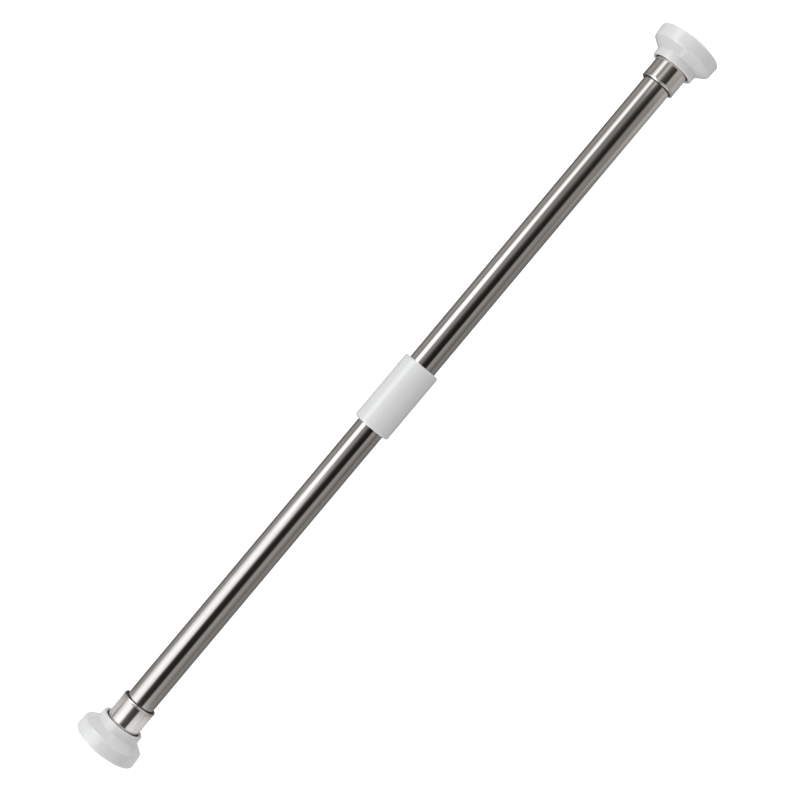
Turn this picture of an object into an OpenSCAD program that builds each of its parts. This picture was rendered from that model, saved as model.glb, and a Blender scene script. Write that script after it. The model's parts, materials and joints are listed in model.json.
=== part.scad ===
// Telescopic pull up bar that clamps between two door jambs.
// The bar lies along X with its middle at the origin. Every sub-part is turned about the X axis.
// Each end carries a screw jack: a spindle fixed to the flange runs in a nut pinned in the tube's end.
// The right half has a core tube that slides in the left tube and is held by an eccentric twist lock.

/* [Bar] */
// Length over the two pads, jacks screwed in and core tube pushed home
bar_length = 944; // [930:1:1000]
// Outer diameter of the two visible tubes
tube_od = 31.8; // [31.6:0.1:32.2]
// Wall of the two visible tubes
tube_wall = 1.5; // [1.4:0.1:1.6]
// Outer diameter of the sliding core tube
core_od = 25.4; // [25:0.1:25.6]
// Wall of the core tube
core_wall = 1.5; // [1.2:0.1:2]
// Length of the core tube
core_length = 450; // [440:1:470]
// How far the core tube reaches into the right tube
core_in_right = 120; // [110:1:130]
// Length of the bush that guides the core tube in the left tube
guide_length = 100; // [60:1:110]

/* [Middle sleeve] */
// Outer diameter of the white middle sleeve
middle_od = 42.4; // [40:0.1:46]
// Length of the middle sleeve
middle_length = 82.6; // [80:0.1:86]
// Distance from the bar's middle to the sleeve's middle
middle_offset = -1.5; // [-2:0.1:0]
// Rounding of the middle sleeve's outer edges
middle_round = 2.5; // [1:0.1:3]

/* [Flange] */
// Diameter of the flange at its face
flange_od = 72.8; // [72:0.1:76]
// Diameter of the flange where the rim meets the shoulder
rim_inner_od = 71.2; // [70:0.1:72]
// Width of the flange's rim
rim_width = 14.5; // [14:0.1:16]
// Length of the sloping shoulder
shoulder_length = 7.7; // [7:0.1:8.5]
// Diameter of the neck
neck_od = 48.7; // [48:0.1:50]
// Length of the neck
neck_length = 9; // [8.4:0.1:9.5]
// How far the rubber pad stands out of the flange's face
pad_proud = 0.8; // [0.4:0.1:1]

/* [Cover sleeves] */
// Outer diameter of the steel sleeves that cover the jacks
cover_od = 38.1; // [37.9:0.1:38.3]
// Wall of the cover sleeves
cover_wall = 1; // [0.9:0.05:1.1]
// Length of the left cover sleeve that shows
left_cover_shows = 27.2; // [22:0.1:30]
// Length of the right cover sleeve that shows
right_cover_shows = 23.3; // [22:0.1:30]

/* [Jack] */
// Outer diameter of the spindle's trapezoidal thread
thread_od = 20; // [18:0.5:20]
// Pitch of the thread
pitch = 4; // [3:0.5:5]
// Travel of each jack
jack_travel = 24; // [16:1:24]
// Length of the nut in the tube's end
nut_length = 32; // [28:1:34]

/* [Twist lock] */
// Offset between the lock journal and the bar's axis
lock_offset = 0.6; // [0.4:0.05:0.7]
// Length of the lock collar
lock_length = 15.6; // [12:0.1:18]

/* [Hidden] */
$fn = 96;

steel = [0.78, 0.76, 0.74];
zinc = [0.66, 0.67, 0.68];
white_plastic = [0.88, 0.88, 0.9];
white_rubber = [0.82, 0.82, 0.82];
black_rubber = [0.06, 0.06, 0.06];
black_nylon = [0.12, 0.12, 0.12];
nylon = [0.85, 0.84, 0.78];

snug = 0.02;                         // radial room of pieces that are pressed together
run = 0.05;                          // radial room of pieces that turn or slide on each other

tube_r = tube_od / 2;
tube_bore = tube_r - tube_wall;
core_r = core_od / 2;
core_bore = core_r - core_wall;
cover_r = cover_od / 2;
cover_bore = cover_r - cover_wall;
thread_r = thread_od / 2;

// Stations along X, measured outwards from the bar's middle
pad_x = bar_length / 2;              // outer face of the pad
face_x = pad_x - pad_proud;          // rim of the flange
shoulder_x = face_x - rim_width;
neck_x = shoulder_x - shoulder_length;
mouth_x = neck_x - neck_length;      // open end of the flange's neck

// Flange, from the face inwards
face_round = 2.1;
crease_round = 2;
shoulder_bulge = 0.5;
mouth_round = 1.8;
pad_r = 33.1;
pad_depth = 4;                       // recess for the pad
plate_r = 30;
plate_thick = 3;
hub_r = 25.5;
pocket_depth = 6;
pocket_ribs = 6;
rib_thick = 2.4;
web_x = mouth_x + 13.8;              // bottom of the socket that holds the cover sleeve
socket_mouth = 5;                    // wide part of the socket, which holds the seal ring
seal_gap = 1.5;
seal_sunk = 1.1;
mouth_dish = 0.8;                    // how far the mouth is dished, towards the seal
mouth_flare = 1.9;                   // radial width of the dished part
spindle_hole = thread_r + 0.3;
pad_seat_x = face_x - pad_depth;
plate_seat_x = pad_seat_x - plate_thick;

// Pad
groove_pitch = 6;
groove_count = 5;
groove_wide = 1.6;
groove_deep = 1;

// Screws in the backing plate
plate_screw_ring = 21;
plate_screw_r = 2;
plate_screw_head = 4;
plate_screw_length = 10;
plate_screw_count = 3;

// Cover sleeve and the bush in its mouth
cover_end_x = web_x - 0.1;
lip_r = 1.25;                        // outer radius of the rolled lip
lip_proud = 0.25;                    // how far the lip stands out of the sleeve
lip_leg = 0.8;
bush_gap = 0.2;
sleeve_bush_length = 9;
nose_proud = 0.7;                    // how far the bush's nose stands out of the lip
retainer_thick = 1.5;
retainer_deep = 1.6;

// Jack
nut_head = 2;
nut_end_x = web_x - 2.2;
tube_end_x = nut_end_x - nut_head;
nut_inner_x = nut_end_x - nut_length;
stop_x = nut_inner_x - jack_travel - 0.5;
stop_thick = 2;
stop_r = 13.5;
journal_r = 7;
journal_tip = 4;
spindle_tip_x = stop_x - stop_thick - journal_tip;
thread_depth = 1.8;
thread_end_x = web_x + 1;
neck_r = 8;
rivet_r = 11;
rivet_thick = 1.5;
ring_groove = 0.7;
ring_thick = 1.3;
ring_r = 9;
ring_x = stop_x - stop_thick - 0.3 - ring_thick;
nut_pin_x = tube_end_x - 4;
nut_pin_r = 2;
nut_pin_flush = 0.15;

// Middle of the bar
middle_left_x = middle_offset - middle_length / 2;
middle_right_x = middle_offset + middle_length / 2;
rib_left_x = -3;                     // the sleeve's inner rib stops the right tube
rib_right_x = 0;
guide_head = 1.8;
guide_play = 0.1;
left_mouth_x = rib_left_x - guide_head - 2 * guide_play;
right_mouth_x = rib_right_x + 0.3;
core_left_x = core_in_right - core_length;
spacer_length = 30;
spacer_front_x = 4;
spacer_rear_x = core_in_right - spacer_length;
core_screw_x = spacer_front_x + spacer_length / 2;
core_screw_r = 2;
core_screw_head = 3.6;
core_screw_top = tube_r - 0.45;
core_screw_cone = 1.65;
core_screw_tip = core_bore - 0.7;

// Twist lock
plug_in_core = 30;
plug_head = 3;
journal_x = core_left_x - plug_head;
lock_journal_r = 9;
lock_room = 0.2;
lock_journal_length = lock_length + 2 * lock_room;
lock_r = tube_bore - 0.25;
lock_slit = 2;
lock_washer_r = 12;
lock_washer_thick = 1.5;
lock_screw_r = 3;
lock_screw_head_r = 5;
lock_screw_head = 4;
lock_screw_length = 14;
hex_key = 4;

// Points of an arc in (radius, x), from angle a to angle b in n steps
function arc_points(centre, r, a, b, n = 8) =
    [for (i = [0:n]) centre + r * [cos(a + (b - a) * i / n), sin(a + (b - a) * i / n)]];

// Points of a shallow outward curve between two points, without its ends
function bulge_points(p, q, bulge, n = 6) =
    let (along = (q - p) / norm(q - p), out = [-along[1], along[0]])
    [for (i = [1:n - 1]) p + (q - p) * i / n + out * bulge * sin(180 * i / n)];

// Turns an outline in (radius, x) about the X axis
module turned() {
    rotate([0, 90, 0]) rotate_extrude() children();
}

// A ring from x0 to x1
module ring(outer, inner, x0, x1) {
    turned() translate([inner, x0]) square([outer - inner, x1 - x0]);
}

// A rod from x0 to x1
module rod(r, x0, x1) {
    translate([x0, 0, 0]) rotate([0, 90, 0]) cylinder(r = r, h = x1 - x0);
}

// A cone from x0 to x1
module cone(r0, r1, x0, x1) {
    translate([x0, 0, 0]) rotate([0, 90, 0]) cylinder(r1 = r0, r2 = r1, h = x1 - x0);
}

// Repeats its children round the X axis
module around_x(count, start = 0) {
    for (i = [0:count - 1]) rotate([start + i * 360 / count, 0, 0]) children();
}

// Draws a right-hand piece on the left side
module on_left() {
    mirror([1, 0, 0]) children();
}

// ---- End pieces, drawn for the right end ----

module pad() {
    color(white_rubber) difference() {
        turned() polygon(concat(
            [[0, pad_seat_x], [pad_r, pad_seat_x]],
            arc_points([pad_r - 1, pad_x - 1], 1, 0, 90),
            [[0, pad_x]]));
        for (i = [1:groove_count])
            ring(i * groove_pitch + groove_wide / 2 - 1, i * groove_pitch - groove_wide / 2 - 1,
                 pad_x - groove_deep, pad_x + 1);
    }
}

// Outline of the flange's outer skin, from its face to the mouth of its neck
function flange_skin() =
    let (face_r = flange_od / 2, crease_r = rim_inner_od / 2, throat_r = neck_od / 2,
         crease_low = [crease_r - 1.2, shoulder_x - 1.5], throat = [throat_r + 0.5, neck_x])
    concat(
        arc_points([face_r - face_round, face_x - face_round], face_round, 90, 0),
        arc_points([crease_r - crease_round, shoulder_x + 0.4], crease_round, 0, -50, 5),
        bulge_points(crease_low, throat, shoulder_bulge),
        [throat, [throat_r, neck_x - 0.4]],
        arc_points([throat_r - mouth_round, mouth_x + mouth_round], mouth_round, 0, -90));

module flange() {
    socket_r = cover_r + snug;
    color(white_plastic) difference() {
        turned() polygon(concat(flange_skin(), [[0, mouth_x], [0, face_x]]));
        rod(pad_r + snug, pad_seat_x, face_x + 1);
        rod(plate_r + snug, plate_seat_x, pad_seat_x + 1);
        difference() {
            ring(plate_r + snug, hub_r, plate_seat_x - pocket_depth, plate_seat_x + 1);
            around_x(pocket_ribs)
                translate([plate_seat_x - pocket_depth - 1, -rib_thick / 2, hub_r - 1])
                    cube([pocket_depth + 1, rib_thick, plate_r - hub_r + 2]);
        }
        rod(spindle_hole, mouth_x - 1, plate_seat_x + 1);
        rod(socket_r, mouth_x - 1, web_x);
        rod(cover_r + seal_gap, mouth_x - 1, mouth_x + socket_mouth);
        cone(cover_r + seal_gap + mouth_flare, cover_r + seal_gap,
             mouth_x - 0.01, mouth_x + mouth_dish);
        around_x(plate_screw_count)
            translate([0, 0, plate_screw_ring])
                rod(plate_screw_r + snug, pad_seat_x - plate_screw_length - 0.5, plate_seat_x + 1);
    }
}

module backing_plate() {
    color(zinc) difference() {
        rod(plate_r, plate_seat_x, pad_seat_x);
        rod(neck_r + snug, plate_seat_x - 1, pad_seat_x + 1);
        rod(rivet_r + snug, pad_seat_x - rivet_thick, pad_seat_x + 1);
        around_x(plate_screw_count)
            translate([0, 0, plate_screw_ring]) {
                rod(plate_screw_r + 0.2, plate_seat_x - 1, pad_seat_x + 1);
                cone(plate_screw_r, plate_screw_head + 0.1, pad_seat_x - 2, pad_seat_x + 0.1);
            }
    }
}

module plate_screws() {
    color(zinc) around_x(plate_screw_count)
        translate([0, 0, plate_screw_ring]) difference() {
            union() {
                rod(plate_screw_r, pad_seat_x - plate_screw_length, pad_seat_x - 1);
                cone(plate_screw_r, plate_screw_head - 0.1, pad_seat_x - 1.9, pad_seat_x - 0.1);
            }
            for (turn = [0, 90]) rotate([turn, 0, 0])
                translate([pad_seat_x - 1.3, -0.5, -2.2]) cube([2, 1, 4.4]);
        }
}

// The thread is drawn as one ridge for each pitch
module spindle() {
    root_r = thread_r - thread_depth;
    ridges = floor((thread_end_x - stop_x) / pitch);
    start_x = thread_end_x - ridges * pitch;
    ridge = [[root_r, 0.1], [thread_r, 0.32], [thread_r, 0.68], [root_r, 0.9]];
    ridge_points = [for (i = [0:ridges - 1]) for (p = ridge) [p[0], start_x + (i + p[1]) * pitch]];
    color(zinc) difference() {
        turned() polygon(concat(
            [[0, spindle_tip_x], [journal_r - 0.6, spindle_tip_x], [journal_r, spindle_tip_x + 0.6],
             [journal_r, stop_x], [root_r, stop_x]],
            ridge_points,
            [[root_r, thread_end_x], [root_r, plate_seat_x], [neck_r, plate_seat_x],
             [neck_r, pad_seat_x - rivet_thick], [rivet_r, pad_seat_x - rivet_thick],
             [rivet_r, pad_seat_x - 0.2], [0, pad_seat_x - 0.2]]));
        ring(journal_r + 1, journal_r - ring_groove, ring_x - snug, ring_x + ring_thick + snug);
    }
}

module stop_washer() {
    color(zinc) ring(stop_r, journal_r + snug, stop_x - stop_thick, stop_x - snug);
}

module retaining_ring() {
    color(zinc) difference() {
        ring(ring_r, journal_r - ring_groove + snug, ring_x, ring_x + ring_thick);
        translate([ring_x - 1, -2.5, 0]) cube([ring_thick + 2, 5, ring_r + 1]);
    }
}

// The wall rolls inwards at the mouth, so the lip never scratches the tube
module cover_sleeve(shows) {
    lip_x = mouth_x - shows + lip_r;
    lip_centre = [cover_r + lip_proud - lip_r, lip_x];
    inner_r = lip_r - cover_wall;
    color(steel) turned() polygon(concat(
        [[cover_bore, cover_end_x], [cover_r, cover_end_x], [cover_r, lip_x + 0.6]],
        arc_points(lip_centre, lip_r, 0, -180, 14),
        [lip_centre + [-lip_r, lip_leg], lip_centre + [-inner_r, lip_leg]],
        arc_points(lip_centre, inner_r, -180, 0, 6),
        [[cover_bore, lip_x + 0.6]]));
}

// The bush's thin nose reaches through the lip and wipes the tube
module sleeve_bush(shows) {
    start_x = mouth_x - shows + lip_r + lip_leg + bush_gap;
    nose_r = cover_r + lip_proud - 2 * lip_r - run;
    color(black_nylon) union() {
        ring(cover_bore - run, tube_r + run, start_x, start_x + sleeve_bush_length);
        ring(nose_r, tube_r + run, mouth_x - shows - nose_proud, start_x + 1);
    }
}

module bush_retainer(shows) {
    start_x = mouth_x - shows + lip_r + lip_leg + 2 * bush_gap + sleeve_bush_length;
    color(zinc)
        ring(cover_bore - snug, cover_bore - retainer_deep, start_x, start_x + retainer_thick);
}

module seal_ring() {
    color(black_rubber)
        ring(cover_r + seal_gap - snug, cover_r + snug, mouth_x + seal_sunk, mouth_x + socket_mouth);
}

module tube_nut() {
    color(zinc) difference() {
        union() {
            rod(tube_bore - snug, nut_inner_x, tube_end_x);
            rod(tube_r - 0.1, tube_end_x, nut_end_x);
        }
        rod(thread_r + run, nut_inner_x - 1, nut_end_x + 1);
        around_x(2) translate([nut_pin_x, 0, 0]) cylinder(r = nut_pin_r + snug, h = tube_r + 1);
    }
}

module nut_pins() {
    color(zinc) around_x(2)
        translate([nut_pin_x, 0, thread_r + 0.6])
            cylinder(r = nut_pin_r, h = tube_r - nut_pin_flush - thread_r - 0.6);
}

// One visible tube, from its mouth in the middle sleeve to its nut
module tube(mouth, with_screw_holes) {
    color(steel) difference() {
        ring(tube_r, tube_bore, mouth, tube_end_x);
        around_x(2) translate([nut_pin_x, 0, 0]) cylinder(r = nut_pin_r + snug, h = tube_r + 1);
        if (with_screw_holes) core_screw_shapes(snug);
    }
}

// ---- Middle of the bar ----

module middle_sleeve() {
    outer = middle_od / 2;
    chamfer = 0.6;
    color(white_plastic) difference() {
        turned() polygon(concat(
            [[core_r + 0.25, middle_left_x]],
            arc_points([outer - middle_round, middle_left_x + middle_round], middle_round, -90, 0),
            arc_points([outer - middle_round, middle_right_x - middle_round], middle_round, 0, 90),
            [[core_r + 0.25, middle_right_x]]));
        rod(tube_r + snug, middle_left_x - 1, rib_left_x);
        rod(tube_r + 2 * run, rib_right_x, middle_right_x + 1);
        cone(tube_r + chamfer, tube_r, middle_left_x - 0.01, middle_left_x + chamfer);
        cone(tube_r, tube_r + chamfer, middle_right_x - chamfer, middle_right_x + 0.01);
    }
}

// The bush turns with the core tube, and is held lengthways between the left tube and the rib
module guide_bush() {
    head_x = rib_left_x - guide_play;
    color(nylon) union() {
        ring(tube_bore - run, core_r + run, left_mouth_x - guide_length, head_x);
        ring(tube_r - run, core_r + run, head_x - guide_head, head_x);
    }
}

module core_tube() {
    color(steel) difference() {
        ring(core_r, core_bore, core_left_x, core_in_right);
        core_screw_shapes(snug);
    }
}

module core_spacer(start_x, with_screw_holes) {
    color(nylon) difference() {
        ring(tube_bore - snug, core_r + snug, start_x, start_x + spacer_length);
        if (with_screw_holes) core_screw_shapes(snug);
    }
}

// Four countersunk screws through tube, spacer and core, or the holes for them with room to spare
module core_screw_shapes(room) {
    around_x(4, 45) translate([core_screw_x, 0, 0]) {
        translate([0, 0, core_screw_tip - room])
            cylinder(r = core_screw_r + room, h = core_screw_top - core_screw_tip);
        translate([0, 0, core_screw_top - core_screw_cone])
            cylinder(r1 = core_screw_r + room, r2 = core_screw_head + room, h = core_screw_cone);
        if (room > 0) translate([0, 0, core_screw_top])
            cylinder(r = core_screw_head + room, h = 2);
    }
}

module core_screws() {
    color(zinc) difference() {
        core_screw_shapes(0);
        around_x(4, 45) for (turn = [0, 90])
            translate([core_screw_x, 0, core_screw_top]) rotate([0, 0, turn])
                translate([-2, -0.45, -1]) cube([4, 0.9, 2]);
    }
}

// ---- Twist lock, on the left end of the core tube ----

module lock_plug() {
    color(zinc) difference() {
        union() {
            rod(core_bore - snug, core_left_x, core_left_x + plug_in_core);
            rod(core_r, journal_x, core_left_x);
            translate([0, 0, lock_offset]) rod(lock_journal_r, journal_x - lock_journal_length, journal_x);
        }
        translate([0, 0, lock_offset])
            rod(lock_screw_r + snug, journal_x - lock_journal_length - 1, journal_x);
    }
}

// The collar's outside is centred on the bar while its bore sits on the offset journal
module lock_collar() {
    collar_x = journal_x - lock_room;
    color(black_nylon) difference() {
        rod(lock_r, collar_x - lock_length, collar_x);
        translate([0, 0, lock_offset])
            rod(lock_journal_r + run, collar_x - lock_length - 1, collar_x + 1);
        around_x(6, 30) translate([0, 0, lock_r])
            rod(1.2, collar_x - lock_length - 1, collar_x + 1);
        translate([collar_x - lock_length - 1, -lock_slit / 2, 0])
            cube([lock_length + 2, lock_slit, lock_r + 1]);
    }
}

module lock_washer() {
    outer_x = journal_x - lock_journal_length;
    color(zinc) translate([0, 0, lock_offset])
        ring(lock_washer_r, lock_screw_r + 0.2, outer_x - lock_washer_thick, outer_x - snug);
}

module lock_screw() {
    seat_x = journal_x - lock_journal_length - lock_washer_thick - snug;
    color(zinc) translate([0, 0, lock_offset]) difference() {
        union() {
            rod(lock_screw_r, seat_x, seat_x + lock_screw_length);
            rod(lock_screw_head_r, seat_x - lock_screw_head, seat_x);
        }
        translate([seat_x - lock_screw_head - 1, 0, 0]) rotate([0, 90, 0])
            cylinder(d = hex_key / cos(30), h = 3.5, $fn = 6);
    }
}

// ---- Nodes ----

on_left() pad();  // left_pad
on_left() flange();  // left_flange
on_left() backing_plate();  // left_backing_plate
on_left() plate_screws();  // left_plate_screws
on_left() spindle();  // left_spindle
on_left() stop_washer();  // left_stop_washer
on_left() retaining_ring();  // left_retaining_ring
on_left() cover_sleeve(left_cover_shows);  // left_cover_sleeve
on_left() bush_retainer(left_cover_shows);  // left_bush_retainer
on_left() seal_ring();  // left_seal_ring
on_left() sleeve_bush(left_cover_shows);  // left_sleeve_bush
on_left() tube(-left_mouth_x, false);  // left_tube
on_left() tube_nut();  // left_tube_nut
on_left() nut_pins();  // left_nut_pins
middle_sleeve();
guide_bush();
tube(right_mouth_x, true);  // right_tube
tube_nut();  // right_tube_nut
nut_pins();  // right_nut_pins
core_tube();
core_spacer(spacer_front_x, true);  // core_spacer_front
core_spacer(spacer_rear_x, false);  // core_spacer_rear
core_screws();
lock_plug();
lock_washer();
lock_screw();
lock_collar();
sleeve_bush(right_cover_shows);  // right_sleeve_bush
pad();  // right_pad
flange();  // right_flange
backing_plate();  // right_backing_plate
plate_screws();  // right_plate_screws
spindle();  // right_spindle
stop_washer();  // right_stop_washer
retaining_ring();  // right_retaining_ring
cover_sleeve(right_cover_shows);  // right_cover_sleeve
bush_retainer(right_cover_shows);  // right_bush_retainer
seal_ring();  // right_seal_ring
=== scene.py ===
"""Looks of a telescopic pull up bar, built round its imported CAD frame."""
import json
import math
import bpy
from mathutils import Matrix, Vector


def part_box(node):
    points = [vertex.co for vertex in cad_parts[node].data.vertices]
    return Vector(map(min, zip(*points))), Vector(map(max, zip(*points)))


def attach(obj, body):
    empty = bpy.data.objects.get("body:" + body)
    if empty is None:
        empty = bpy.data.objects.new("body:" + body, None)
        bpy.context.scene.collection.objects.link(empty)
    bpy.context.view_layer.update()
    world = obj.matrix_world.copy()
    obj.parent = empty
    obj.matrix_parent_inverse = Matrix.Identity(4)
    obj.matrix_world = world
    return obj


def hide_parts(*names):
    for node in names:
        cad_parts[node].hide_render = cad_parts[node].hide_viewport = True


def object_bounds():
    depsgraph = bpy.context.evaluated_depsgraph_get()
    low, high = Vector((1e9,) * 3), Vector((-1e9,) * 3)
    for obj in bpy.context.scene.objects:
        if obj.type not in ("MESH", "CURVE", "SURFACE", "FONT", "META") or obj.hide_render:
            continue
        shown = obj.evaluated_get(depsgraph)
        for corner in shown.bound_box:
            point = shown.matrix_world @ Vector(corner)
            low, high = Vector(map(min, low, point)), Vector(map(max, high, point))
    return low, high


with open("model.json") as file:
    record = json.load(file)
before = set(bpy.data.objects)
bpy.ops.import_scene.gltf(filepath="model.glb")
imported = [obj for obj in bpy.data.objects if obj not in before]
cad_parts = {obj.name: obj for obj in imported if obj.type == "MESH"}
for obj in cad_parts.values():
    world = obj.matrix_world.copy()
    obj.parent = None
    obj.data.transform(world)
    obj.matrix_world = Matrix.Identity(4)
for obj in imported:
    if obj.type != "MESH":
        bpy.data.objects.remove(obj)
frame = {"nodes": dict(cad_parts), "record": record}
CAD_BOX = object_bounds()

MM = 0.001
STEPS = 192              # sides of a turned piece
HOLE_STEPS = 48          # sides of a drilled hole
THREAD_STEPS = 96        # sides of a threaded piece
ARC_STEPS = 10           # points in a quarter turn of a fillet
EPS = 1e-9
ALIKE = 0.9              # how well a known normal has to fit a face that was cut
ROUND = 0.99             # how straight out or in a cut face has to look to be part of a turned wall
SHARP = math.radians(32)  # a threaded piece's edges that turn by more than this stay sharp


# ---------------------------------------------------------------- turned shapes

def corner(x, r, fillet=0.0):
    """One corner of an outline: place along the bar, radius, and how far it is rounded."""
    return (x, r, fillet)


def unit(v):
    length = math.hypot(*v)
    return (v[0] / length, v[1] / length)


def arc_at(p, before, after, fillet):
    """Points and outward normals of the round that replaces corner p of a counterclockwise outline."""
    a, b = unit((p[0] - before[0], p[1] - before[1])), unit((after[0] - p[0], after[1] - p[1]))
    turn = math.atan2(a[0] * b[1] - a[1] * b[0], a[0] * b[0] + a[1] * b[1])
    back = fillet * math.tan(abs(turn) / 2)
    start = (p[0] - a[0] * back, p[1] - a[1] * back)
    side = 1 if turn > 0 else -1
    centre = (start[0] - side * a[1] * fillet, start[1] + side * a[0] * fillet)
    count = max(2, round(ARC_STEPS * abs(turn) / (math.pi / 2)))
    points = []
    for i in range(count + 1):
        angle = math.atan2(-a[0], a[1]) + turn * i / count
        normal = (math.cos(angle), math.sin(angle))
        place = (centre[0] + side * fillet * normal[0], centre[1] + side * fillet * normal[1])
        points.append((place, normal, normal))
    return points


def outline_points(corners, flip):
    """The outline's points as (place, normal before, normal after), counterclockwise in (x, r)."""
    loop = [(-x if flip else x, r, f) for x, r, f in corners]
    area = sum(p[0] * q[1] - q[0] * p[1] for p, q in zip(loop, loop[1:] + loop[:1]))
    if area < 0:
        loop.reverse()
    points = []
    for i, p in enumerate(loop):
        before, after = loop[i - 1], loop[(i + 1) % len(loop)]
        if p[2] > EPS:
            points += arc_at(p, before, after, p[2])
        else:
            a, b = unit((p[0] - before[0], p[1] - before[1])), unit((after[0] - p[0], after[1] - p[1]))
            points.append(((p[0], p[1]), (a[1], -a[0]), (b[1], -b[0])))
    return points


def link_mesh(name, verts, faces):
    mesh = bpy.data.meshes.new(name)
    mesh.from_pydata(verts, [], faces)
    mesh.shade_smooth()
    piece = bpy.data.objects.new(name, mesh)
    bpy.context.scene.collection.objects.link(piece)
    return piece


def turned(name, corners, flip=False, steps=STEPS):
    """A solid of revolution about the X axis, with the true normals of its rounds and flats."""
    points = outline_points(corners, flip)
    verts, rings = [], []
    turns = [(math.cos(2 * math.pi * j / steps), math.sin(2 * math.pi * j / steps)) for j in range(steps)]
    for (x, r), _, _ in points:
        if r < EPS:
            rings.append([len(verts)] * steps)
            verts.append((x, 0, 0))
        else:
            rings.append(range(len(verts), len(verts) + steps))
            verts += [(x, r * c, r * s) for c, s in turns]
    faces, normals = [], []
    for i, p in enumerate(points):
        k = (i + 1) % len(points)
        if p[0][1] < EPS and points[k][0][1] < EPS:
            continue
        for j in range(steps):
            n = (j + 1) % steps
            ends = [(rings[i][j], p[2], j), (rings[k][j], points[k][1], j),
                    (rings[k][n], points[k][1], n), (rings[i][n], p[2], n)]
            if p[0][1] < EPS:
                ends.pop()
            elif points[k][0][1] < EPS:
                ends.pop(2)
            faces.append([e[0] for e in ends])
            normals += [(m[0], m[1] * turns[t][0], m[1] * turns[t][1]) for _, m, t in ends]
    piece = link_mesh(name, verts, faces)
    piece.data.normals_split_custom_set(normals)
    return piece


def spot(point):
    """A vertex's place, rounded so that it can be looked up."""
    return tuple(round(c / (0.001 * MM)) for c in point)


def drill(piece, cutters):
    """Cuts holes in a turned piece, and keeps the smooth normals of its turned faces.

    The cutters are used up. A corner of a cut face takes the turned piece's normal at that place if there
    is one that fits. Failing that, it points along the radius on a turned wall, or else as its face does.
    """
    known = {}
    for loop, normal in zip(piece.data.loops, piece.data.corner_normals):
        known.setdefault(spot(piece.data.vertices[loop.vertex_index].co), []).append(normal.vector.copy())
    for cutter in cutters:
        cut = piece.modifiers.new("cut", "BOOLEAN")
        cut.operation = "DIFFERENCE"
        cut.solver = "EXACT"
        cut.object = cutter
    bpy.context.view_layer.update()
    result = piece.evaluated_get(bpy.context.evaluated_depsgraph_get())
    mesh = bpy.data.meshes.new_from_object(result)
    piece.modifiers.clear()
    piece.data = mesh
    for cutter in cutters:
        bpy.data.objects.remove(cutter)
    normals = []
    for face in mesh.polygons:
        for index in face.vertices:
            place = mesh.vertices[index].co
            radial = Vector((0, place.y, place.z)).normalized()
            lean = radial.dot(face.normal)
            same = [n for n in known.get(spot(place), []) if n.dot(face.normal) > ALIKE]
            if same:
                normals.append(max(same, key=face.normal.dot))
            elif abs(lean) > ROUND:
                normals.append(radial if lean > 0 else -radial)
            else:
                normals.append(face.normal.copy())
    mesh.shade_smooth()
    mesh.normals_split_custom_set(normals)


def hole(place, angle, outline):
    """A cutter that stands out from the bar's axis, turned from an outline in (height, radius)."""
    cutter = turned("cutter", outline, steps=HOLE_STEPS)
    cutter.location.x = place
    cutter.rotation_mode = "ZYX"
    cutter.rotation_euler = (math.radians(angle), -math.pi / 2, 0)
    return cutter


def prism(name, outline, x0, x1):
    """A solid that runs along the bar from x0 to x1, with an outline in (y, z), clockwise seen from +X."""
    count = len(outline)
    verts = [(x, y, z) for x in sorted((x0, x1)) for y, z in outline]
    sides = [(i, count + i, count + (i + 1) % count, (i + 1) % count) for i in range(count)]
    return link_mesh(name, verts, [tuple(range(count)), tuple(reversed(range(count, 2 * count))), *sides])


def threaded(name, before, after, thread, flip=False):
    """A turned piece with one stretch of true helical thread, right-hand, or left-hand when flipped.

    The outline runs through the points before the thread, the thread itself, and the points after it.
    """
    low, high, phase, ridge = thread
    first = math.floor((low - phase) / PITCH) - 2
    count = math.ceil((high - low) / PITCH) + 4

    def column(j):
        line = []
        for k in range(first, first + count):
            for share, r in ridge:
                x = min(high, max(low, phase + (k + share + j / THREAD_STEPS) * PITCH))
                line.append((x, r if low < x < high else ridge[0][1]))
        return line

    spots, verts, faces = {}, [], []

    def vertex(point, j):
        turn = 2 * math.pi * (j % THREAD_STEPS) / THREAD_STEPS
        x = -point[0] if flip else point[0]
        place = (x, point[1] * math.cos(turn), point[1] * math.sin(turn))
        if spot(place) not in spots:
            spots[spot(place)] = len(verts)
            verts.append(place)
        return spots[spot(place)]

    for j in range(THREAD_STEPS):
        here = [vertex(p, j) for p in before + column(j) + after]
        there = [vertex(p, j + 1) for p in before + column(j + 1) + after]
        for i in range(len(here)):
            ring = [here[i - 1], here[i], there[i], there[i - 1]]
            ring = [v for n, v in enumerate(ring) if v != ring[n - 1]]
            if len(set(ring)) == len(ring) > 2:
                faces.append(ring if flip == bool(before) else ring[::-1])
    piece = link_mesh(name, verts, faces)
    piece.data.set_sharp_from_angle(angle=SHARP)
    return piece


def put(piece, node, body, mat):
    """Shows a piece in place of a CAD node, on that node's body."""
    piece.data.materials.clear()
    piece.data.materials.append(mat)
    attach(piece, body)
    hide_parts(node)


# ---------------------------------------------------------------- materials

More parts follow.
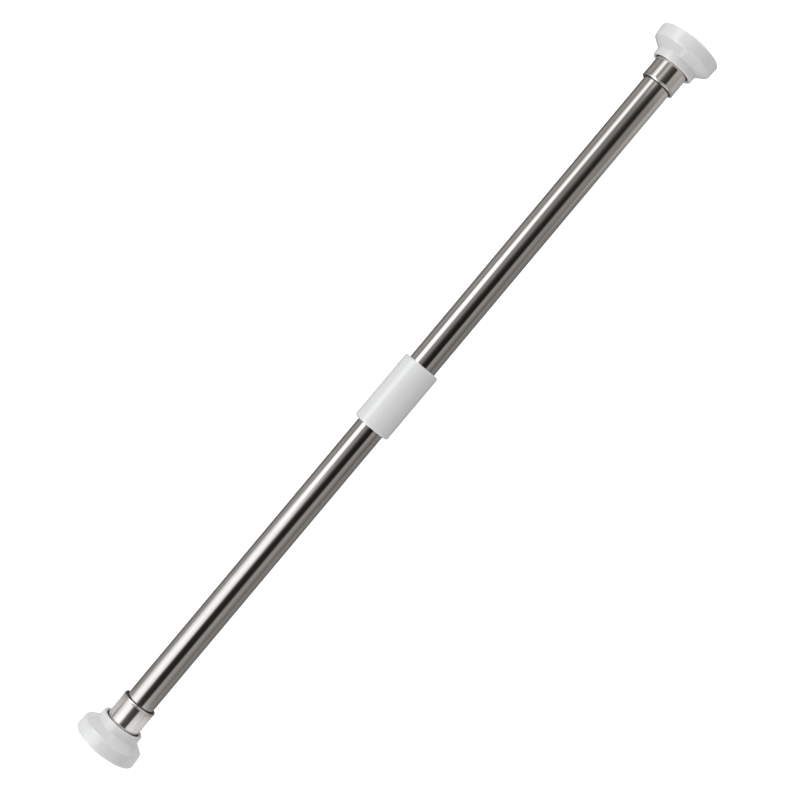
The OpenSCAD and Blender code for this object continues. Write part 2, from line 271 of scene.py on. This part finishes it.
class Net:
    """Short names for building a node tree."""

    def __init__(self, tree):
        self.tree = tree
        tree.nodes.clear()

    def add(self, kind, **settings):
        node = self.tree.nodes.new(kind)
        for key, value in settings.items():
            setattr(node, key, value)
        return node

    def link(self, value, socket):
        if isinstance(value, bpy.types.NodeSocket):
            self.tree.links.new(value, socket)
        else:
            socket.default_value = value

    def math(self, operation, a, b=0.0):
        node = self.add("ShaderNodeMath", operation=operation)
        self.link(a, node.inputs[0])
        self.link(b, node.inputs[1])
        return node.outputs[0]

    def ramp(self, value, low, high, to_low=0.0, to_high=1.0):
        node = self.add("ShaderNodeMapRange", interpolation_type="SMOOTHSTEP")
        for given, socket in zip((value, low, high, to_low, to_high), node.inputs):
            self.link(given, socket)
        return node.outputs[0]

    def mix(self, share, a, b):
        node = self.add("ShaderNodeMix", data_type="FLOAT")
        for given, i in ((share, 0), (a, 2), (b, 3)):
            self.link(given, node.inputs[i])
        return node.outputs[0]

    def colour_mix(self, share, a, b):
        node = self.add("ShaderNodeMix", data_type="RGBA")
        for given, i in ((share, 0), (a, 6), (b, 7)):
            self.link(given, node.inputs[i])
        return node.outputs[2]

    def place(self, stretch=(1, 1, 1)):
        """The point on the piece, in metres, with each axis stretched."""
        where = self.add("ShaderNodeTexCoord").outputs["Object"]
        node = self.add("ShaderNodeMapping")
        self.link(where, node.inputs["Vector"])
        node.inputs["Scale"].default_value = stretch
        return node.outputs["Vector"]

    def noise(self, where, scale, detail=2.0, rough=0.5):
        node = self.add("ShaderNodeTexNoise")
        self.link(where, node.inputs["Vector"])
        node.inputs["Scale"].default_value = scale
        node.inputs["Detail"].default_value = detail
        node.inputs["Roughness"].default_value = rough
        return node.outputs["Fac"]

    def bump(self, height, depth, below=None):
        node = self.add("ShaderNodeBump")
        node.inputs["Strength"].default_value = 1.0
        node.inputs["Distance"].default_value = depth
        self.link(height, node.inputs["Height"])
        if below is not None:
            self.link(below, node.inputs["Normal"])
        return node.outputs["Normal"]


def surface(name, **sockets):
    """A new material: its node tree and its Principled shader, already joined to the output."""
    mat = bpy.data.materials.new(name)
    mat.use_nodes = True
    net = Net(mat.node_tree)
    shader = net.add("ShaderNodeBsdfPrincipled")
    out = net.add("ShaderNodeOutputMaterial")
    net.link(shader.outputs[0], out.inputs["Surface"])
    for key, value in sockets.items():
        shader.inputs[key.replace("_", " ")].default_value = value
    return mat, net, shader.inputs


def rgb(r, g, b):
    return (r, g, b, 1.0)


def polished_steel(name, tone=(0.82, 0.752, 0.69), rough=(0.05, 0.09), ring_depth=0.0006 * MM):
    """Tube polished in a centreless machine: faint rings round it, fainter lines along it."""
    mat, net, shader = surface(name, Metallic=1.0)
    rings = net.noise(net.place((1, 0.04, 0.04)), 2600, 3, 0.6)
    lines = net.noise(net.place((0.03, 1, 1)), 300, 2, 0.5)
    haze = net.noise(net.place(), 38, 4, 0.6)
    dull = net.math("ADD", net.math("MULTIPLY", rings, 0.5), net.math("MULTIPLY", haze, 0.5))
    net.link(net.ramp(dull, 0.3, 0.7, rough[0], rough[1]), shader["Roughness"])
    dark = tuple(0.955 * c for c in tone)
    net.link(net.colour_mix(net.ramp(haze, 0.35, 0.65), rgb(*tone), rgb(*dark)), shader["Base Color"])
    net.link(net.bump(rings, ring_depth, net.bump(lines, 0.05 * MM)), shader["Normal"])
    return mat


def zinc_steel(name, tone=(0.66, 0.67, 0.69)):
    """Bright zinc plate on turned steel, slightly cloudy."""
    mat, net, shader = surface(name, Metallic=1.0)
    cloud = net.noise(net.place(), 160, 4, 0.6)
    rings = net.noise(net.place((1, 0.05, 0.05)), 2600, 3, 0.6)
    net.link(net.ramp(cloud, 0.3, 0.7, 0.24, 0.42), shader["Roughness"])
    pale = tuple(min(1.0, 1.08 * c) for c in tone)
    blue = (0.90 * tone[0], 0.93 * tone[1], 0.97 * tone[2])
    net.link(net.colour_mix(net.ramp(cloud, 0.35, 0.7), rgb(*pale), rgb(*blue)), shader["Base Color"])
    net.link(net.bump(rings, 0.008 * MM), shader["Normal"])
    return mat


def moulded(name, tone, rough, grain, grain_depth, shade=0.96, **sockets):
    """Moulded plastic or rubber: fine grain, soft cloudiness and a slight unevenness of gloss."""
    mat, net, shader = surface(name, **sockets)
    cloud = net.noise(net.place(), 45, 3, 0.5)
    skin = net.noise(net.place(), grain, 2, 0.6)
    darker = tuple(shade * c for c in tone)
    net.link(net.colour_mix(net.ramp(cloud, 0.3, 0.7), rgb(*tone), rgb(*darker)), shader["Base Color"])
    net.link(net.ramp(net.noise(net.place(), 120, 3, 0.5), 0.3, 0.7, rough[0], rough[1]), shader["Roughness"])
    net.link(net.bump(skin, grain_depth, net.bump(cloud, 0.004 * MM)), shader["Normal"])
    return mat


SLOT_OF = {s["node"]: s["material_slot"] for s in frame["record"]["subparts"]}
MATERIALS = {
    "polished_steel": polished_steel("polished_steel"),
    "satin_steel": polished_steel("satin_steel", (0.70, 0.69, 0.68), (0.16, 0.26), 0.004 * MM),
    "zinc_steel": zinc_steel("zinc_steel"),
    "spring_steel": zinc_steel("spring_steel", (0.10, 0.10, 0.11)),
    "white_plastic": moulded("white_plastic", (0.655, 0.647, 0.642), (0.07, 0.11), 1500, 0.0004 * MM, 0.985,
                             IOR=1.6, Specular_IOR_Level=0.87),
    "pad_rubber": moulded("pad_rubber", (0.55, 0.55, 0.54), (0.62, 0.78), 3400, 0.02 * MM, 0.9),
    "black_rubber": moulded("black_rubber", (0.022, 0.022, 0.022), (0.5, 0.68), 3000, 0.02 * MM, 0.8),
    "black_nylon": moulded("black_nylon", (0.03, 0.03, 0.031), (0.36, 0.5), 1500, 0.012 * MM, 0.8),
    "natural_nylon": moulded("natural_nylon", (0.80, 0.77, 0.68), (0.34, 0.46), 1500, 0.01 * MM, 0.95),
}


# ---------------------------------------------------------------- camera, light and floor

SENSOR = 36 * MM
EYE = Vector((38 * MM, -4.97 * MM, 1.66))  # the camera, straight above a point right of the bar's middle
AIM = Vector((-1.75 * MM, -4.97 * MM, 0))  # what the middle of the picture shows
FIELD = 825.6 * MM                         # width of the picture at the bar
BAR_RISE = math.radians(50.045)            # how steeply the bar rises in the picture


def add_camera():
    """The camera looks straight down, turned so that the bar rises in the picture. Its shift frames AIM."""
    data = bpy.data.cameras.new("camera")
    data.sensor_width = SENSOR / MM
    data.lens = SENSOR / MM * EYE.z / FIELD
    camera = bpy.data.objects.new("camera", data)
    bpy.context.scene.collection.objects.link(camera)
    camera.location = EYE
    camera.rotation_euler = (0, 0, -BAR_RISE)
    aside = AIM.x - EYE.x
    data.shift_x = aside * math.cos(BAR_RISE) / FIELD
    data.shift_y = aside * math.sin(BAR_RISE) / FIELD
    bpy.context.scene.camera = camera


# How bright the studio is round the bar, as (angle, level). The angle is 0 straight up, and positive
# towards -Y. Every stretch has a white strip light on the one side, a black flag over the bar and grey
# walls. Seen along the bar, one of STRETCHES turns into the next while a direction's x runs through each
# of CHANGES, and BEYOND is what lies further out. Rays from matt surfaces see SOFT, and further out
# SOFT_ENDS.
STRIP, WHITE = 1.6, 1.0
LEFT_END = ((-90, 0.36), (-84, 0.1), (-78, 0.52), (-60, 1.02), (-45, 1.3), (-23, 1.4), (-15, 0.95),
            (-8, 0.28), (0, 0.12), (22, 0.062), (30, 0.14), (37, 0.92), (60, 1.02), (90, 0.86))
LEFT = ((-90, 0.46), (-74, 0.95), (-60, 1.25), (-45, 1.3), (-32, 1.1), (-23, 0.9), (-16, 0.27),
        (-7, 0.04), (2, 0.02), (26, 0.018), (35, 0.21), (44, 0.36), (60, 0.28), (75, 0.2), (90, 0.17))
MIDDLE = ((-90, 0.25), (-82, 0.23), (-75, 0.48), (-68, 1.3), (-62, STRIP), (-48, STRIP), (-42, 1.05),
          (-36, 0.38), (-29, 0.26), (-20, 0.25), (-13, 0.18), (-5, 0.065), (5, 0.018), (29, 0.012),
          (34, 0.1), (39, 0.25), (46, 0.34), (54, 0.3), (74, 0.17), (90, 0.15))
RIGHT = ((-90, 0.23), (-80, 0.26), (-73, 0.52), (-63, 1.05), (-54, 1.4), (-46, 1.2), (-39, 0.45),
         (-34, 0.23), (-15, 0.21), (-6, 0.14), (0, 0.08), (11, 0.026), (28, 0.016), (36, 0.08),
         (43, 0.23), (50, 0.27), (72, 0.26), (90, 0.31))
RIGHT_END = ((-90, 0.27), (-80, 0.25), (-74, 0.4), (-66, 0.8), (-58, 1.25), (-49, 1.3), (-42, 0.58),
             (-36, 0.31), (-28, 0.32), (-19, 0.75), (-7, 0.38), (0, 0.16), (10, 0.08), (33, 0.022),
             (39, 0.18), (46, 0.44), (52, 0.47), (75, 0.39), (90, 0.45))
BEYOND = ((-90, 0.9), (-76, 0.9), (-68, 3.5), (-50, 3.5), (-40, WHITE), (-14, 0.8), (-6, 0.3),
          (12, 0.35), (26, 0.75), (90, 0.8))
SOFT = ((-90, 1.1), (-45, 1.25), (0, 1.15), (30, 0.71), (60, 0.36), (90, 0.28))
SOFT_ENDS = ((-90, 1.6), (-45, 1.6), (0, 1.45), (30, 1.1), (60, 0.85), (90, 0.8))
NEUTRAL, COOL, TINT_ABOVE = (1, 1, 1), (0.93, 1, 1.075), 0.6
LEAN = math.radians(1.5)  # how far the whole studio is turned round the bar, towards +Y
STRETCHES = (LEFT_END, LEFT, MIDDLE, RIGHT, RIGHT_END)
FURTHER_OUT, SOFT_OUT = (0.31, 0.42), (0.5, 0.9)
CHANGES = ((-0.272, -0.262), (-0.14, -0.07), (0.04, 0.19), (0.214, 0.224))


def light_round(net, angle, stops, tint=COOL):
    """The light at an angle round the bar, from a list of (angle, level). Only bright levels are tinted."""
    node = net.add("ShaderNodeValToRGB")
    net.link(net.math("DIVIDE", net.math("ADD", angle, math.pi / 2), math.pi), node.inputs[0])
    levels = node.color_ramp.elements
    while len(levels) < len(stops):
        levels.new(1.0)
    for level, (where, bright) in zip(levels, stops):
        level.position = (where + 90) / 180
        level.color = rgb(*(bright * c for c in (tint if bright > TINT_ABOVE else NEUTRAL)))
    return node.outputs[0]


def add_studio():
    """The world: plain white to the camera, and the drawn light to everything else."""
    world = bpy.data.worlds.new("studio")
    bpy.context.scene.world = world
    world.use_nodes = True
    net = Net(world.node_tree)
    toward = net.add("ShaderNodeSeparateXYZ")
    net.link(net.add("ShaderNodeTexCoord").outputs["Generated"], toward.inputs[0])
    x, y, z = toward.outputs
    angle = net.math("ADD", net.math("ARCTAN2", net.math("MULTIPLY", y, -1.0), z), LEAN)
    level = light_round(net, angle, STRETCHES[0])
    for stretch, change in zip(STRETCHES[1:], CHANGES):
        level = net.colour_mix(net.ramp(x, *change), level, light_round(net, angle, stretch))
    outward = net.math("ABSOLUTE", x)
    level = net.colour_mix(net.ramp(outward, *FURTHER_OUT), level, light_round(net, angle, BEYOND))

    path = net.add("ShaderNodeLightPath").outputs
    light = net.add("ShaderNodeBackground")
    soft = light_round(net, angle, SOFT, NEUTRAL)
    soft_ends = light_round(net, angle, SOFT_ENDS, NEUTRAL)
    soft = net.colour_mix(net.ramp(outward, *SOFT_OUT), soft, soft_ends)
    net.link(net.colour_mix(path["Is Diffuse Ray"], level, soft), light.inputs["Color"])
    plain = net.add("ShaderNodeBackground")
    plain.inputs["Color"].default_value = rgb(1, 1, 1)
    chosen = net.add("ShaderNodeMixShader")
    net.link(path["Is Camera Ray"], chosen.inputs[0])
    net.link(light.outputs[0], chosen.inputs[1])
    net.link(plain.outputs[0], chosen.inputs[2])
    net.link(chosen.outputs[0], net.add("ShaderNodeOutputWorld").inputs["Surface"])


def add_floor():
    """A pale floor that the flanges rest on. To reflections its colour is painted darker, a painted shade
    that stands in for the shade of a real floor round the bar.

    The near side is the one at -Y. A brighter stretch of floor is painted where the left end of the bar
    reflects it, a painted reflection. To matt surfaces the floor is painted brighter on the near side than on
    the far side, painted light and shade.
    """
    half = 12.0
    mesh = bpy.data.meshes.new("floor")
    low = CAD_BOX[0].z
    mesh.from_pydata([(-half, -half, low), (half, -half, low), (half, half, low), (-half, half, low)],
                     [], [(0, 1, 2, 3)])
    floor = bpy.data.objects.new("floor", mesh)
    bpy.context.scene.collection.objects.link(floor)
    mat, net, shader = surface("floor", Roughness=0.9)
    path = net.add("ShaderNodeLightPath").outputs
    split = net.add("ShaderNodeSeparateXYZ")
    net.link(net.place(), split.inputs[0])
    x, y, _ = split.outputs
    spread = 0.27                    # how the left stretch narrows away from the bar
    far_left_painted_reflection, near_left_painted_reflection = 0.58, 0.7  # painted reflection: how bright the left stretch is painted for reflections
    far_painted_bounce, near_painted_bounce = 0.7, 0.95  # painted light and shade: how bright the floor is painted for matt surfaces
    seen, glow = 0.93, 0.6           # the tone and the glow that the camera sees
    # Painted shade: to reflections the floor is painted darker than it is, darkest close to the bar, with a
    # brighter painted reflection where the left end looks at it.
    off = net.math("ADD", x, net.math("MULTIPLY", net.math("ABSOLUTE", y), spread))
    left_end = net.ramp(off, -0.405, -0.425)
    far_painted_shade = net.mix(left_end, net.ramp(y, 0.045, 0.12, 0.14, 0.27), far_left_painted_reflection)
    near_painted_shade = net.mix(left_end, net.ramp(x, 0.25, 0.44, 0.21, 0.44), near_left_painted_reflection)
    side = net.ramp(y, -0.02, 0.02)
    tone = net.mix(side, near_painted_shade, far_painted_shade)
    # Reflections and matt surfaces each see their own painted light and shade. The camera sees the even pale
    # floor.
    shaded = net.mix(path["Is Glossy Ray"], net.mix(side, near_painted_bounce, far_painted_bounce), tone)
    net.link(net.colour_mix(path["Is Camera Ray"], shaded, rgb(seen, seen, seen)), shader["Base Color"])
    net.link(rgb(1, 1, 1), shader["Emission Color"])
    net.link(net.math("MULTIPLY", path["Is Camera Ray"], glow), shader["Emission Strength"])
    mesh.materials.append(mat)


# ---------------------------------------------------------------- the bar's pieces

# Sizes that the CAD has too
WALL = 1.5 * MM                          # wall of the grip tubes and the core tube
SNUG, RUN = 0.02 * MM, 0.05 * MM         # room of pressed and of sliding pieces
RIM_WIDTH, RIM_TAPER = 14.5 * MM, 0.8 * MM
SHOULDER = 7.7 * MM
NECK_R = 24.35 * MM
SOCKET_DEPTH, SOCKET_MOUTH = 13.8 * MM, 5 * MM
SEAL_GAP, DISH, MOUTH_FLARE = 1.5 * MM, 0.8 * MM, 1.9 * MM
PAD_DEPTH = 4 * MM                       # recess for the pad
PLATE_R, PLATE_THICK = 30 * MM, 3 * MM
HUB_R, POCKET_DEPTH, RIB = 25.5 * MM, 6 * MM, 2.4 * MM
SCREW_RING, SCREW_LENGTH = 21 * MM, 10 * MM  # the backing plate's screws
SPARE = 0.5 * MM                         # how much deeper than its screw a hole is
COVER_WALL, LIP, LIP_PROUD, LIP_LEG = 1 * MM, 1.25 * MM, 0.25 * MM, 0.8 * MM
PITCH = 4 * MM
THREAD_ROOT, THREAD_CREST = 8.2 * MM, 10 * MM
THREAD_STOP = 1 * MM                     # where the thread ends, past the socket's floor
RISE_FROM, RISE_TO, FALL_FROM, FALL_TO = 0.1, 0.32, 0.68, 0.9  # the thread's flanks, as shares of a pitch
MOUTH_BEVEL = 0.6 * MM                   # bevel at a bore's mouth or a spindle's tip
PIN_R, SCREW_R = 2 * MM, 2 * MM
SCREW_HEAD, SCREW_CONE, SCREW_TOP = 3.6 * MM, 1.65 * MM, 15.45 * MM  # the core tube's screws

# Sizes that only the looks have
NECK_TAPER = 0.1 * MM                    # how much wider the neck is at the shoulder
POCKET_R = PLATE_R - 0.3 * MM            # clear of the plate's recess, so that the cutters don't graze it
CREASE_FROM, CREASE_DEPTH = 1.16 * MM, 0.45 * MM  # the crease behind the rolled lip, from its middle
PROUD = 1 * MM                           # how far a cutter stands out of what it cuts


def sizes(node):
    """(start, end, outer radius) of a CAD node, as if it lay on the right."""
    low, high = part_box(node)
    start, end = sorted((abs(low.x), abs(high.x)))
    return start, end, max(high.y, high.z)


def pocket(x0, x1, middle):
    """A cutter for the pocket between two ribs behind the backing plate."""
    line = []
    for r, way in ((HUB_R, 1), (POCKET_R, -1)):
        half = math.radians(30) - math.asin(RIB / 2 / r)
        turns = [middle + way * half * (2 * i / ARC_STEPS - 1) for i in range(ARC_STEPS + 1)]
        line += [(-r * math.sin(turn), r * math.cos(turn)) for turn in turns]
    return prism("cutter", line, x0, x1)


def add_flange(side, flip):
    """The white end cup, with ribs and screw holes behind its backing plate."""
    node = f"{side}_flange"
    mouth, face, radius = sizes(node)
    pad_r = sizes(f"{side}_pad")[2] + SNUG
    cover_r, seal_r, bore = COVER_R + SNUG, COVER_R + SEAL_GAP, THREAD_CREST + 0.3 * MM
    shoulder = face - RIM_WIDTH
    neck = shoulder - SHOULDER
    recess = face - PAD_DEPTH
    seat = recess - PLATE_THICK
    corners = [
        corner(mouth + DISH, seal_r, 0.15 * MM),
        corner(mouth, NECK_R - MOUTH_FLARE, 0.3 * MM),
        corner(mouth, NECK_R, 1.75 * MM),
        corner(neck, NECK_R + NECK_TAPER, 0.7 * MM),
        corner(shoulder, radius - RIM_TAPER, 3.2 * MM),
        corner(face, radius, 2.2 * MM),
        corner(face, pad_r, 0.3 * MM),
        corner(recess, pad_r),
        corner(recess, PLATE_R + SNUG),
        corner(seat, PLATE_R + SNUG),
        corner(seat, bore, 0.4 * MM),
        corner(mouth + SOCKET_DEPTH, bore),
        corner(mouth + SOCKET_DEPTH, cover_r),
        corner(mouth + SOCKET_MOUTH, cover_r),
        corner(mouth + SOCKET_MOUTH, seal_r),
    ]
    shell = turned(f"{side}_flange_shell", corners, flip)
    out = -1 if flip else 1
    above = seat + PROUD
    cutters = [pocket(out * (seat - POCKET_DEPTH), out * above, math.radians(30 + 60 * i)) for i in range(6)]
    for i in range(3):
        turn = math.radians(120 * i)
        start, r = recess - SCREW_LENGTH - SPARE, SCREW_R + SNUG
        line = [corner(start, 0), corner(start, r), corner(above, r), corner(above, 0)]
        cutter = turned("cutter", line, flip, HOLE_STEPS)
        cutter.location = (0, -SCREW_RING * math.sin(turn), SCREW_RING * math.cos(turn))
        cutters.append(cutter)
    drill(shell, cutters)
    put(shell, node, f"{side}_end", MATERIALS["white_plastic"])


def add_pad(side, flip):
    """The rubber pad, with ring grooves in its face."""
    node = f"{side}_pad"
    back, front, radius = sizes(node)
    count, pitch, first, wide, deep, draft = 5, 6 * MM, 5 * MM, 1.6 * MM, 1 * MM, 0.1 * MM
    corners = [corner(back, 0), corner(back, radius), corner(front, radius, 1 * MM)]
    for i in reversed(range(count)):
        outer, inner = first + i * pitch + wide / 2, first + i * pitch - wide / 2
        corners += [corner(front, outer, 0.25 * MM), corner(front - deep, outer - draft, 0.3 * MM),
                    corner(front - deep, inner + draft, 0.3 * MM), corner(front, inner, 0.25 * MM)]
    corners.append(corner(front, 0))
    put(turned(f"{side}_pad_face", corners, flip), node, f"{side}_end", MATERIALS["pad_rubber"])


def add_cover(side, flip):
    """The end sleeve, whose mouth is rolled inwards into a lip that stands a little proud."""
    node = f"{side}_cover_sleeve"
    mouth, end, lip_out = sizes(node)
    bore = COVER_R - COVER_WALL
    groove_x, groove_r = mouth + LIP + CREASE_FROM, COVER_R - CREASE_DEPTH
    across, up = groove_x - (mouth + LIP), groove_r - (lip_out - LIP)
    touch = math.atan2(up, across) + math.acos(LIP / math.hypot(across, up))
    back = mouth + LIP + LIP_LEG
    corners = [
        corner(end, bore, 0.15 * MM),
        corner(end, COVER_R, 0.25 * MM),
        corner(groove_x + 0.06 * MM, COVER_R, 0.08 * MM),
        corner(groove_x, groove_r),
        corner(mouth + LIP + LIP * math.tan((math.pi / 2 - touch) / 2), lip_out, LIP - 0.02 * MM),
        corner(mouth, lip_out, LIP - 0.01 * MM),
        corner(mouth, lip_out - 2 * LIP, LIP - 0.01 * MM),
        corner(back, lip_out - 2 * LIP, 0.1 * MM),
        corner(back, lip_out - 2 * LIP + COVER_WALL),
        corner(mouth + LIP + 0.2 * MM, bore),
    ]
    put(turned(f"{side}_cover_tube", corners, flip), node, f"{side}_end", MATERIALS["polished_steel"])


def add_sleeve_bush(side, flip):
    """The bush in the cover sleeve, whose thin black nose reaches through the lip and wipes the tube. The
    nose's black also stands in for the shade in the gap between the lip and the tube, as painted shade.
    """
    node = f"{side}_sleeve_bush"
    tip, end, radius = sizes(node)
    lip = sizes(f"{side}_cover_sleeve")
    nose_r = lip[2] - 2 * LIP - RUN
    step = lip[0] + LIP + LIP_LEG + 0.2 * MM
    bore = TUBE_R + RUN
    corners = [corner(tip, bore, 0.1 * MM), corner(tip, nose_r, 0.25 * MM), corner(step, nose_r),
               corner(step, radius, 0.3 * MM), corner(end, radius, 0.3 * MM), corner(end, bore, 0.3 * MM)]
    # Painted shade: the black nylon nose is a wiper, and its black also stands in for the shade in the gap
    # behind the lip.
    put(turned(f"{side}_sleeve_liner", corners, flip), node, f"{side}_bush", MATERIALS["black_nylon"])


def ring_corners(node, inner, fillet, rows=()):
    """A ring with rounded edges that fills a CAD node's place, given its bore, with extra rows of points."""
    low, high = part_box(node)
    outer = max(high.y, high.z)
    return [corner(low.x, inner, fillet), corner(low.x, outer, fillet), *(corner(x, outer) for x in rows),
            corner(high.x, outer, fillet), corner(high.x, inner, fillet),
            *(corner(x, inner) for x in reversed(rows))]


def add_ring(name, node, body, inner, fillet):
    """A ring in place of a CAD node, in that node's own material."""
    put(turned(name, ring_corners(node, inner, fillet)), node, body, MATERIALS[SLOT_OF[node]])


def beside(node):
    """Two places just beside the holes that a CAD node's pins or screws sit in."""
    low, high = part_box(node)
    margin = 0.5 * MM
    return (low.x - margin, high.x + margin)


def pin_holes(side):
    """Cutters for the two holes of the nut's pins."""
    low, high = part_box(f"{side}_nut_pins")
    inside, outside, r = 5 * MM, 20 * MM, PIN_R + SNUG
    outline = [corner(inside, 0), corner(inside, r), corner(outside, r), corner(outside, 0)]
    return [hole((low.x + high.x) / 2, turn, outline) for turn in (0, 180)]


def screw_holes():
    """Cutters for the four countersunk holes of the screws that hold the core tube."""
    low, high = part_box("core_screws")
    inside, outside, head, shank = 9 * MM, 18 * MM, SCREW_HEAD + SNUG, SCREW_R + SNUG
    outline = [corner(inside, 0), corner(inside, shank), corner(SCREW_TOP - SCREW_CONE, shank),
               corner(SCREW_TOP, head), corner(outside, head), corner(outside, 0)]
    return [hole((low.x + high.x) / 2, 45 + 90 * i, outline) for i in range(4)]


def add_tube(side):
    """A grip tube with its pin holes, and on the right with its screw holes."""
    node = f"{side}_tube"
    with_screws = side == "right"
    rows = sorted(beside(f"{side}_nut_pins") + (beside("core_screws") if with_screws else ()))
    tube = turned(f"{side}_grip_tube", ring_corners(node, TUBE_R - WALL, 0.25 * MM, rows))
    drill(tube, pin_holes(side) + (screw_holes() if with_screws else []))
    put(tube, node, f"{side}_half", MATERIALS["polished_steel"])


def add_core():
    """The tube that is screwed into the right half and slides in the left one."""
    outline = ring_corners("core_tube", CORE_R - WALL, 0.2 * MM, beside("core_screws"))
    core = turned("core_slide_tube", outline)
    drill(core, screw_holes())
    put(core, "core_tube", "right_half", MATERIALS["satin_steel"])


def add_spindle(side, flip):
    """The jack's screw: tip with its ring groove, thread, shank and riveted head."""
    node = f"{side}_spindle"
    tip, head, _ = sizes(node)
    _, stop, _ = sizes(f"{side}_stop_washer")
    ring_from, ring_to, _ = sizes(f"{side}_retaining_ring")
    mouth, face, _ = sizes(f"{side}_flange")
    thread_end = mouth + SOCKET_DEPTH + THREAD_STOP
    seat = face - PAD_DEPTH - PLATE_THICK
    journal, groove, neck, rivet, rivet_thick = 7 * MM, 6.3 * MM, 8 * MM, 11 * MM, 1.5 * MM
    ring_from, ring_to = ring_from - SNUG, ring_to + SNUG
    before = [(tip, 0), (tip, journal - MOUTH_BEVEL), (tip + MOUTH_BEVEL, journal), (ring_from, journal),
              (ring_from, groove), (ring_to, groove), (ring_to, journal), (stop, journal)]
    after = [(seat, THREAD_ROOT), (seat, neck), (face - PAD_DEPTH - rivet_thick, neck),
             (face - PAD_DEPTH - rivet_thick, rivet), (head, rivet), (head, 0)]
    ridge = ((RISE_FROM, THREAD_ROOT), (RISE_TO, THREAD_CREST),
             (FALL_FROM, THREAD_CREST), (FALL_TO, THREAD_ROOT))
    thread = (stop, thread_end, thread_end, ridge)
    screw = threaded(f"{side}_jack_screw", before, after, thread, flip)
    put(screw, node, f"{side}_end", MATERIALS["zinc_steel"])


def add_nut(side, flip):
    """The tube's nut, whose thread has a little room round the spindle's."""
    node = f"{side}_tube_nut"
    inner, outer, _ = sizes(node)
    mouth = sizes(f"{side}_flange")[0]
    tube_end = sizes(f"{side}_tube")[1]
    body_r, head_r, slack = TUBE_R - WALL - SNUG, TUBE_R - 0.1 * MM, 0.01
    root, crest = THREAD_ROOT + 0.1 * MM, THREAD_CREST + RUN
    after = [(outer, crest), (outer, head_r), (tube_end, head_r), (tube_end, body_r),
             (inner, body_r), (inner, crest)]
    ridge = ((RISE_FROM - slack, root), (RISE_TO - slack, crest),
             (FALL_FROM + slack, crest), (FALL_TO + slack, root))
    thread = (inner + MOUTH_BEVEL, outer - MOUTH_BEVEL, mouth + SOCKET_DEPTH + THREAD_STOP, ridge)
    nut = threaded(f"{side}_jack_nut", [], after, thread, flip)
    put(nut, node, f"{side}_half", MATERIALS["zinc_steel"])


def add_guide():
    """The bush that guides the core tube, with grease grooves in its bore."""
    low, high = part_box("guide_bush")
    body_r, head_r, bore = TUBE_R - WALL - RUN, TUBE_R - RUN, CORE_R + RUN
    head = high.x - 1.8 * MM
    corners = [corner(low.x, bore, 0.4 * MM), corner(low.x, body_r, 0.8 * MM), corner(head, body_r),
               corner(head, head_r, 0.2 * MM), corner(high.x, head_r, 0.2 * MM),
               corner(high.x, bore, 0.4 * MM)]
    grooves, groove_r, half_floor, half_mouth = 7, bore + 0.4 * MM, 0.8 * MM, 1.2 * MM
    for i in range(grooves, 0, -1):
        middle = low.x + i * (high.x - low.x) / (grooves + 1)
        corners += [corner(middle + half_mouth, bore), corner(middle + half_floor, groove_r, 0.1 * MM),
                    corner(middle - half_floor, groove_r, 0.1 * MM), corner(middle - half_mouth, bore)]
    put(turned("guide_liner", corners), "guide_bush", "guide", MATERIALS["natural_nylon"])


def add_middle():
    """The white sleeve over the joint, with the inside rib that stops both tubes."""
    low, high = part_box("middle_sleeve")
    outer, tube_in, free_in, core_in = high.z, TUBE_R + SNUG, TUBE_R + 2 * RUN, CORE_R + 0.25 * MM
    rib_from, rib_to = -3 * MM, 0
    corners = [
        corner(low.x, tube_in + 0.5 * MM, 0.3 * MM), corner(low.x, outer, 2.5 * MM),
        corner(high.x, outer, 2.5 * MM), corner(high.x, TUBE_R + MOUTH_BEVEL, 0.3 * MM),
        corner(high.x - MOUTH_BEVEL, free_in), corner(rib_to, free_in),
        corner(rib_to, core_in), corner(rib_from, core_in),
        corner(rib_from, tube_in), corner(low.x + 0.5 * MM, tube_in),
    ]
    put(turned("middle_sleeve_shell", corners), "middle_sleeve", "left_half", MATERIALS["white_plastic"])


TUBE_R = sizes("left_tube")[2]
CORE_R = sizes("core_tube")[2]
COVER_R = sizes("left_cover_sleeve")[2] - LIP_PROUD

add_camera()
add_studio()
add_floor()
for side, flip in (("left", True), ("right", False)):
    add_flange(side, flip)
    add_pad(side, flip)
    add_cover(side, flip)
    add_tube(side)
    add_spindle(side, flip)
    add_nut(side, flip)
    # The black seal ring sits at the floor of the gap at the neck's mouth. It cushions the sleeve, and its
    # black also stands in for the shade in that gap, as painted shade.
    add_ring(f"{side}_seal", f"{side}_seal_ring", f"{side}_end", COVER_R + SNUG, 0.15 * MM)
    add_sleeve_bush(side, flip)
add_core()
add_guide()
add_middle()
for node, piece in frame["nodes"].items():
    piece.data.materials.clear()
    piece.data.materials.append(MATERIALS[SLOT_OF[node]])

bpy.context.scene.view_settings.view_transform = "Standard"
